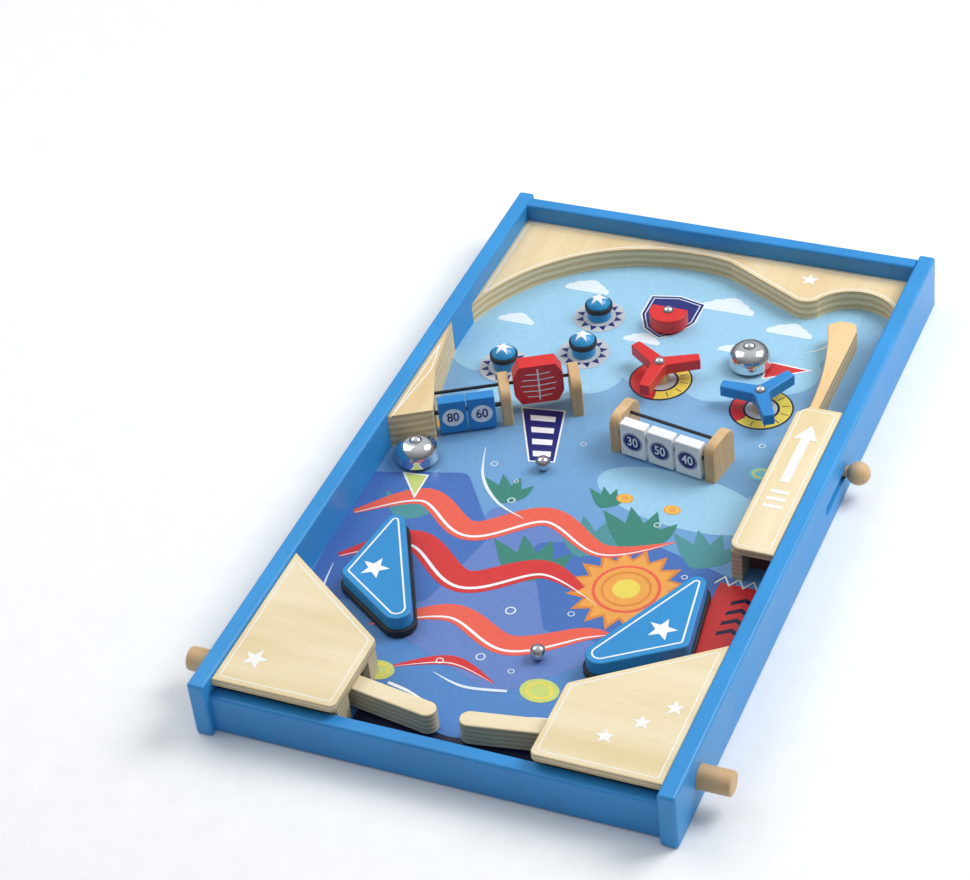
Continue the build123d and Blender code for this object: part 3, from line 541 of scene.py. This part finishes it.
def inner_line(points, distance):
    """A line that keeps its distance inside an outline, also round tight and hollow corners."""
    spans = [(Vector(a), Vector(b)) for a, b in zip(points, points[1:] + points[:1])]

    def clear(p):
        gaps = []
        for a, b in spans:
            t = max(0.0, min(1.0, (p - a).dot(b - a) / (b - a).length_squared))
            gaps.append((p - a.lerp(b, t)).length)
        return min(gaps)

    return [p for p in inset(points, distance) if clear(Vector(p)) > 0.97 * distance]


# Playfield print: a generic sea-and-sky design in the colours and scale of the game's board
SKY_EDGE = ((-118, 118, 26), (-82, 108, 22), (-44, 112, 24), (-4, 132, 26), (40, 128, 25))
SKY_AREA = [(-139, 116), (-118, 100), (60, 120), (96, 150), (112, 200), (112, 240), (-139, 240)]
SKY_CORNER = (80, 146, 24)
CLOUDS = ((-78, 196, 11), (22, 200, 13), (70, 186, 11), (-22, 152, 9), (40, 158, 7), (-112, 150, 9))
PUFFS = ((-1.0, 0.0, 0.42), (-0.5, 0.22, 0.55), (0.1, 0.34, 0.68), (0.65, 0.15, 0.52), (1.1, -0.02, 0.36))
PUFF_BOTTOM = 0.22
POOLS = ((58, 6, 58, 0.42, -8), (-76, 78, 36, 0.4, 24))
DEPTHS = (
    ([(-46, -40), (20, -52), (60, -132), (10, -178), (-58, -150)], "lavender"),
    ([(-6, -62), (50, -44), (108, -60), (94, -120), (24, -120)], "deep"),
    ([(-136, -30), (-84, -16), (-52, -60), (-66, -120), (-128, -134)], "deep"),
)
DEPTH_CORNER = 8
FRONDS = (
    (-14, -92, 1.7, "green"), (14, -60, 1.5, "fern"), (40, -46, 1.6, "green"), (86, -50, 1.4, "fern"),
    (-52, -28, 1.1, "green"), (-106, -60, 1.2, "fern"), (12, -14, 0.8, "green"),
)
FROND_LEANS, FROND_LENGTH, FROND_BEND = (-40, -14, 12, 38), 24, 2.5
WAVES = (
    (
        [(-136, -62), (-98, -36), (-58, -58), (-16, -32), (28, -52), (68, -32)],
        [4, 16, 18, 17, 12, 1], "coral",
    ),
    ([(-128, -102), (-88, -76), (-44, -102), (0, -78), (42, -98)], [4, 18, 20, 16, 1], "red"),
    ([(-84, -154), (-40, -130), (4, -146), (44, -124), (60, -120)], [1, 15, 17, 11, 1], "coral"),
    ([(-58, -184), (-24, -168), (8, -178)], [1, 8, 1], "red"),
)
# The white line on a wave: the part of the wave's width it is set out on, and the part of that it fills
WAVE_LINE_AT, WAVE_LINE_WIDTH = 0.68, 0.16
SUN = (54.0, -80.0)
DISCS = (
    (-62, -188, 10, "lime"), (36, -176, 12, "lime"), (24, -2, 5.5, "orange"), (56, -4, 5.5, "orange"),
    (98, 44, 8, "aqua"), (-118, 34, 5, "orange"),
)
DISC_SQUEEZE = 0.8
BUBBLES = (
    (-8, -160, 3), (14, -166, 2), (-30, -170, 2.4), (52, -20, 2.2), (-44, -24, 2.6), (84, -60, 2),
    (-20, 40, 2), (-68, 6, 2.4), (-48, -6, 1.6), (8, 66, 2), (100, 20, 1.8), (90, 70, 2.2),
    (-6, -118, 3.4), (30, -110, 2.2),
)
STREAKS = (
    [(-80, 20), (-70, -8), (-52, -28), (-30, -38)], [(86, 168), (98, 178), (104, 196)],
    [(-30, -180), (-8, -186), (18, -182)], [(-128, -110), (-122, -140), (-104, -160)],
)
STREAK_WIDTHS = [0.4, 2.0, 2.0, 0.4]
DRAIN = [(-60, -242), (60, -242), (60, -214), (30, -222), (0, -226), (-30, -222), (-60, -214)]
DASHES, DASH_WIDTHS = ((52, -196), (50, -203), (46, -231)), [2.4, 2, 0.4]
# For each dial, the angle of its first field and how many of its fields are red
DIAL_FIELDS = ((125, 5), (115, 4))
DIAL_EDGE, DIAL_OUTER, DIAL_INNER, DIAL_HUB = 20.9, 19.8, 12.0, 10.4
DIAL_PARTS = 12
TICK = ((18.6, 0.3), (13.4, 0.3), (13.4, -0.3), (18.6, -0.3))
PEG_PLATE, PEG_BURST, PEG_HUB = 17.4, 16.4, 11.2
SHIELD = [(-31, 200), (-31, 180), (-24, 166), (-12, 159), (-2, 166), (5, 180), (5, 200), (-13, 204)]
SHIELD_MID, SHIELD_HALF = (-13, 181), (18, 22)
LABEL = [(-73.4, 64.4), (-48.0, 13.9), (-31.0, 17.8), (-43.4, 68.7)]
LABEL_BARS, LABEL_BAR_STEP, LABEL_BAR_ENDS = 4, 0.22, (0.14, 0.24)
CHUTE = [(106, -58), (139, -58), (139, -150), (106, -150)]
CHEVRON = [(118, 0), (126, 5), (134, 0), (134, -3.6), (126, 1.4), (118, -3.6)]
CHEVRONS, CHEVRON_FIRST, CHEVRON_STEP = 4, -72, -9
PENNANTS = (
    ([(68, 134), (98, 152), (66, 154)], "red"),
    ([(-104, -40), (-104, -16), (-122, -18)], "lime"),
)


def print_sky(sheet):
    for x, y, r in SKY_EDGE:
        sheet.face(circle(x, y, r, 48), "pale", 0)
    sheet.face(SKY_AREA, "pale", 0)
    sheet.face(circle(*SKY_CORNER, 48), "pale", 0)
    for x, y, size in CLOUDS:
        for u, v, r in PUFFS:
            puff = circle(x + u * size, y + v * size, r * size, 28)
            sheet.face([(a, max(b, y - PUFF_BOTTOM * size)) for a, b in puff], "cloud", 1)


def print_sea(sheet):
    for x, y, r, squeeze, turn in POOLS:
        sheet.face(circle(x, y, r, 64, squeeze, turn), "pale", 0)
    for points, colour in DEPTHS:
        sheet.face(support([(x, y, DEPTH_CORNER) for x, y in points], 0, 120), colour, 0)
    for x, y, size, colour in FRONDS:
        for lean in FROND_LEANS:
            a, length = math.radians(lean), FROND_LENGTH * size
            tip = (x + length * math.sin(a), y + length * math.cos(a))
            mid = ((x + tip[0]) / 2 + FROND_BEND * size, (y + tip[1]) / 2)
            left, right = ribbon([(x, y), mid, tip], [3 * size, 8 * size, 0.6], 20)
            sheet.strip(left, right, colour, 1, closed=False)
    for points, widths, colour in WAVES:
        left, right = ribbon(points, widths, 64)
        sheet.strip(left, right, colour, 2, closed=False)
        left, right = ribbon(points, [WAVE_LINE_AT * w for w in widths], 64)
        pairs = [(Vector(a), Vector(b)) for a, b in zip(right, left)]
        low = [tuple(a.lerp(b, WAVE_LINE_WIDTH)) for a, b in pairs]
        sheet.strip(low, right, "white", 3, closed=False)


def print_sun(sheet):
    sheet.face(star(*SUN, 37, 0.72, 16), "amber", 2)
    sheet.face(star(*SUN, 32, 0.76, 16), "orange", 3)
    sheet.face(circle(*SUN, 21), "coral", 4)
    sheet.face(circle(*SUN, 19), "orange", 5)
    sheet.strip(circle(*SUN, 15.5), circle(*SUN, 14.0), "amber", 6)
    sheet.face(circle(*SUN, 8.5), "yellow", 6)


def print_small_shapes(sheet):
    for x, y, r, colour in DISCS:
        disc, outer, inner = (circle(x, y, part * r, 36, DISC_SQUEEZE) for part in (1, 0.72, 0.55))
        sheet.face(disc, colour, 2)
        sheet.strip(outer, inner, "yellow", 3)
    for x, y, r in BUBBLES:
        sheet.strip(circle(x, y, r, 24), circle(x, y, 0.72 * r, 24), "cloud", 3)
    for points in STREAKS:
        left, right = ribbon(points, STREAK_WIDTHS[: len(points)], 30)
        sheet.strip(left, right, "cloud", 3, closed=False)
    sheet.face(DRAIN, "night", 1)
    for side in (-1, 1):
        for x, y in DASHES:
            path = [(side * x, y), (side * (x - 14), y - 3), (side * (x - 28), y - 8)]
            left, right = ribbon(path, DASH_WIDTHS, 16)
            sheet.strip(left, right, "white", 3, closed=False)


def print_dial(sheet, x, y, first, reds):
    """A ring of fields round a spinner: the first ones red, the others yellow with ticks between."""
    sheet.face(circle(x, y, DIAL_EDGE, 72), "night", 4)
    wedge = 360 / DIAL_PARTS
    for part in range(DIAL_PARTS):
        angles = [math.radians(first + wedge * (part + k / 6)) for k in range(7)]
        outer, inner = arc(x, y, DIAL_OUTER, angles), arc(x, y, DIAL_INNER, angles)
        sheet.strip(outer, inner, "red" if part < reds else "yellow", 5, closed=False)
    for part in range(reds, DIAL_PARTS + 1):
        a = math.radians(first + wedge * part)
        c, s = math.cos(a), math.sin(a)
        sheet.face([(x + r * c - w * s, y + r * s + w * c) for r, w in TICK], "night", 6)
    sheet.face(circle(x, y, DIAL_HUB, 48), "steel", 5)


def shield(grow):
    (x, y), (w, h) = SHIELD_MID, SHIELD_HALF
    return [(u + grow * (u - x) / w, v + grow * (v - y) / h) for u, v in SHIELD]


def print_signs(sheet):
    for x, y in PEGS:
        sheet.face(circle(x, y, PEG_PLATE, 48), "steel", 4)
        sheet.face(star(x, y, PEG_BURST, 0.66, 12), "navy", 5)
        sheet.face(circle(x, y, PEG_HUB), "steel", 6)
    sheet.face(shield(1.6), "white", 4)
    sheet.face(shield(0.6), "navy", 5)
    sheet.strip(shield(-1.2), shield(-1.9), "cloud", 6)
    sheet.face(LABEL, "white", 4)
    sheet.face(inset(LABEL, 1.2), "navy", 5)
    corners = [Vector(p) for p in LABEL]
    for n in range(LABEL_BARS):
        sides = []
        for end in LABEL_BAR_ENDS:
            t = end + LABEL_BAR_STEP * n
            left, right = corners[0].lerp(corners[1], t), corners[3].lerp(corners[2], t)
            sides.append((left.lerp(right, 0.2), left.lerp(right, 0.8)))
        bar = [sides[0][0], sides[1][0], sides[1][1], sides[0][1]]
        sheet.face([tuple(p) for p in bar], "white", 6)
    sheet.face(CHUTE, "red", 2)
    zigzag = [(103 + 4.5 * n, -56 + (4.5 if n % 2 else -2.5)) for n in range(7)]
    sheet.strip(zigzag, [(x, y - 2.0) for x, y in zigzag], "white", 4, closed=False)
    for n in range(CHEVRONS):
        sheet.face([(x, y + CHEVRON_FIRST + CHEVRON_STEP * n) for x, y in CHEVRON], "night", 3)
    for points, colour in PENNANTS:
        sheet.face(points, "white", 4)
        sheet.face(inset(points, 1.3), colour, 5)


field = Print("playfield_print", "case", "printed_board", at_height(FIELD_TOP))
print_sky(field)
print_sea(field)
print_sun(field)
print_small_shapes(field)
for (x, y), (first, reds) in zip(DIALS, DIAL_FIELDS):
    print_dial(field, x, y, first, reds)
print_signs(field)
field.done()

# White lines and stars on the covers, deflectors and slingshots: a star is (x, y, radius, turn)
COVER_STARS = {
    "left": ((-121.3, -224.4, 8.5, 78),),
    "right": ((96, -222, 6.2, 100), (112, -206, 6.2, 100), (126, -190, 6.2, 100)),
}
COVER_LINE_IN, COVER_LINE_CORNER, COVER_LINE_WIDTH = 5.0, 1.6, 0.7
LAUNCH_LINE = [(117.5, -48.5, 3.0), (132.5, -48.5, 3.0), (132.5, 77, 3.0), (117.5, 77, 3.0)]
LAUNCH_LINE_WIDTH = 0.6
LAUNCH_ARROW = [(125, 66), (117.5, 52), (122, 52), (122, 10), (128, 10), (128, 52), (132.5, 52)]
LAUNCH_BAR = [(119, 2), (131, 2), (131, -1), (119, -1)]
LAUNCH_BARS, LAUNCH_BAR_STEP = 3, -7
ARCH_STAR = (71.8, 227.5, 6.5, 96)
DEFLECTOR_LINE_IN, DEFLECTOR_LINE_HALF = 2.5, 0.4
SLING_LINE_OUT, SLING_LINE_IN = -3.6, -4.7
SLING_STAR, SLING_STAR_SHIFT = 9.5, 3


def white_star(sheet, x, y, radius, turn):
    sheet.face(star(x, y, radius, turn=turn), "wood_white", 1)


for side, name in ((-1, "left"), (1, "right")):
    front = [(COVER_IN, COVER_FRONT), (INNER_X, COVER_FRONT)]
    corners = front + [(INNER_X, COVER_BACK_OUT), (COVER_IN, COVER_BACK_IN)]
    if side < 0:
        corners = [(-x, y) for x, y in corners][::-1]
    line = [(x, y, COVER_LINE_CORNER) for x, y in inset(corners, COVER_LINE_IN)]
    sheet = Print(f"{name}_cover_print", "case", "plywood", at_height(COVER_TOP))
    sheet.strip(support(line, 0), support(line, -COVER_LINE_WIDTH), "wood_white", 0)
    for x, y, radius, turn in COVER_STARS[name]:
        white_star(sheet, x, y, radius, turn)
    sheet.done()

sheet = Print("launch_cover_print", "case", "plywood", at_height(LAUNCH_TOP))
sheet.strip(support(LAUNCH_LINE, LAUNCH_LINE_WIDTH), support(LAUNCH_LINE, 0.0), "wood_white", 0)
sheet.face(LAUNCH_ARROW, "wood_white", 1)
for n in range(LAUNCH_BARS):
    sheet.face([(x, y + LAUNCH_BAR_STEP * n) for x, y in LAUNCH_BAR], "wood_white", 1)
sheet.done()

for node, name in (("arch_deflector", "arch_print"), ("left_deflector", "left_deflector_print")):
    line = inner_line(top_outline(node), DEFLECTOR_LINE_IN)
    sheet = Print(name, "case", "plywood", at_height(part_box(node)[1][2] / MM))
    sheet.strip(inset(line, -DEFLECTOR_LINE_HALF), inset(line, DEFLECTOR_LINE_HALF), "wood_white", 0)
    if node == "arch_deflector":
        white_star(sheet, *ARCH_STAR)
    sheet.done()

for side, name in ((-1, "left"), (1, "right")):
    shape = [(side * x, y, r) for x, y, r in SLING]
    sheet = Print(f"{name}_slingshot_print", "case", "sling_paint", at_height(SLING_TOP))
    sheet.strip(support(shape, SLING_LINE_OUT), support(shape, SLING_LINE_IN), "white", 0)
    x, y = (sum(c[k] for c in SLING) / len(SLING) for k in (0, 1))
    x, y = side * (x + SLING_STAR_SHIFT), y - SLING_STAR_SHIFT
    sheet.face(star(x, y, SLING_STAR, turn=84), "white", 0)
    sheet.done()


# Stars on the domed pegs follow the dome
def dome_lift(x, y):
    curve = (PEG_RADIUS**2 + PEG_DOME**2) / (2 * PEG_DOME)
    return math.sqrt(curve**2 - x * x - y * y) - curve


PEG_TOP = FIELD_TOP + PEG_SIDE + PEG_DOME
PEG_STAR, PEG_STAR_RINGS = 6.6, 8
for n, (x, y) in enumerate(PEGS):
    sheet = Print(f"peg_star_{n + 1}", "case", "sling_paint", at_height(PEG_TOP, x, y))
    sizes = [PEG_STAR * k / PEG_STAR_RINGS for k in range(PEG_STAR_RINGS, 0, -1)]
    rings = [split_edges(star(0, 0, size, turn=100), 6) for size in sizes]
    for outer, inner in zip(rings, rings[1:]):
        sheet.strip(outer, inner, "white", 0, lift=dome_lift)
    sheet.face(rings[-1], "white", 0, lift=dome_lift)
    sheet.done()


# Number discs on the gate tiles and stripes on the paddle
def gate_matrix(gate, u, v, z):
    (x, y), angle = GATES[gate][:2]
    a = math.radians(angle)
    along, deep = Vector((math.cos(a), math.sin(a), 0)), Vector((-math.sin(a), math.cos(a), 0))
    turn = Matrix((along, Vector((0, 0, 1)), -deep)).transposed().to_4x4()
    return Matrix.Translation((Vector((x, y, 0)) + along * u + deep * v + Vector((0, 0, z))) * MM) @ turn


NUMBER_SIZE, NUMBER_NARROW, NUMBER_WEIGHT = 9.8, 0.82, 0.014


def number(name, body, text, colour, matrix):
    curve = bpy.data.curves.new(name, "FONT")
    curve.body, curve.size = text, NUMBER_SIZE * MM
    curve.align_x, curve.align_y = "CENTER", "CENTER"
    curve.offset = NUMBER_WEIGHT * NUMBER_SIZE * MM
    writing = bpy.data.objects.new(name + "_outline", curve)
    scene.collection.objects.link(writing)
    data = bpy.data.meshes.new_from_object(writing.evaluated_get(bpy.context.evaluated_depsgraph_get()))
    bpy.data.objects.remove(writing)
    above_disc = Matrix.Translation((0, 0, (PROUD + 3 * LAYER) * MM))
    data.transform(matrix @ above_disc @ Matrix.Diagonal((NUMBER_NARROW, 1, 1, 1)))
    data.materials.clear()
    data.materials.append(INKS[colour])
    piece = bpy.data.objects.new(name, data)
    scene.collection.objects.link(piece)
    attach(piece, body)


TILE_TEXT = (
    ("white", 0, "white_tile_left", "30"),
    ("white", 1, "white_tile_middle", "50"),
    ("white", 2, "white_tile_right", "40"),
    ("blue", 0, "blue_tile_left", "80"),
    ("blue", 1, "blue_tile_right", "60"),
)
DISC_EDGE, DISC_RING_OUT, DISC_RING_IN, DISC_BURST = 7.0, 6.5, 6.2, 7.2
for gate, n, body, text in TILE_TEXT:
    width, starts = GATES[gate][2:]
    face = gate_matrix(gate, starts[n] + width / 2, -TILE_PROUD, TILE_MID)
    slot = "white_paint" if gate == "white" else "tile_blue"
    sheet = Print(f"{body}_disc", body, slot, face)
    if gate == "white":
        sheet.face(circle(0, 0, DISC_EDGE, 48), "navy", 0)
        sheet.strip(circle(0, 0, DISC_RING_OUT, 48), circle(0, 0, DISC_RING_IN, 48), "white", 1)
    else:
        sheet.face(star(0, 0, DISC_BURST, 0.93, 24), "white", 0)
    sheet.done()
    number(f"{body}_number", body, text, "white" if gate == "white" else "navy", face)

PADDLE_LINE = [(-0.5, -12.5), (0.5, -12.5), (0.5, 12.5), (-0.5, 12.5)]
PADDLE_STRIPES, PADDLE_LOWEST, PADDLE_STEP = (8.0, 10.5, 11.5, 10.5, 8.0), -9.0, 4.5
sheet = Print("paddle_print", "red_paddle", "red_paint", gate_matrix("blue", *PADDLE))
sheet.face(PADDLE_LINE, "white", 0)
for n, half in enumerate(PADDLE_STRIPES):
    y = PADDLE_LOWEST + PADDLE_STEP * n
    lower = [(-half, y - 0.4), (0, y - 1.2), (half, y - 0.4)]
    upper = [(half, y + 0.4), (0, y - 0.4), (-half, y + 0.4)]
    sheet.face(lower + upper, "white", 1)
sheet.done()

# Floor, light and camera, in metres
FLOOR_REACH = 6.0
floor = bpy.data.objects.new("floor", bpy.data.meshes.new("floor"))
plane = bmesh.new()
bmesh.ops.create_grid(plane, x_segments=2, y_segments=2, size=FLOOR_REACH)
plane.to_mesh(floor.data)
plane.free()
floor_look, tree, shader, place = start("floor_look", Roughness=0.9)
speck = spread(tree, noise(tree, place, 60, 3), 0.3, 0.7)
put(tree, shader.inputs["Base Color"], blend(tree, speck, ink(248, 248, 248), ink(252, 252, 252)))
floor.data.materials.append(floor_look)
scene.collection.objects.link(floor)

# The studio is brighter overhead and at the back than low down and at the front
world = bpy.data.worlds.new("studio")
scene.world = world
world.use_nodes = True
tree = world.node_tree
background = tree.nodes["Background"]
background.inputs["Color"].default_value = (0.92, 0.96, 1.0, 1.0)
sight = split(tree, add(tree, "TexCoord").outputs["Generated"])
overhead = spread(tree, sight["Z"], 0.0, 1.0, 0.12, 0.9)
behind = spread(tree, sight["Y"], -0.8, 0.8, 0.5, 1.1)
put(tree, background.inputs["Strength"], math_node(tree, "MULTIPLY", overhead, behind))


def lamp(name, place, size, power):
    """A square soft light that points at the origin."""
    data = bpy.data.lights.new(name, "AREA")
    data.shape, data.size, data.energy = "SQUARE", size, power
    made = bpy.data.objects.new(name, data)
    made.location = place
    made.rotation_euler = (-Vector(place)).to_track_quat("-Z", "Y").to_euler()
    scene.collection.objects.link(made)


lamp("key", (0.95, 0.75, 1.3), 0.9, 21)
lamp("fill", (-1.1, 0.1, 1.3), 1.2, 8)

# The camera stands where the photograph was taken from
CAMERA_PLACE = (0.557688, -1.2231, 1.159582)
CAMERA_RIGHT = Vector((0.9184326, 0.38409241, -0.0946286))
CAMERA_UP = Vector((-0.17783779, 0.61458669, 0.76854207))
CAMERA_FORWARD = Vector((-0.35334866, 0.68902555, -0.6327626))
camera_data = bpy.data.cameras.new("camera")
camera_data.sensor_width = 36.0
camera_data.lens = 104.35
camera = bpy.data.objects.new("camera", camera_data)
turn = Matrix((CAMERA_RIGHT, CAMERA_UP, -CAMERA_FORWARD)).transposed().to_4x4()
camera.matrix_world = Matrix.Translation(CAMERA_PLACE) @ turn
scene.collection.objects.link(camera)
scene.camera = camera
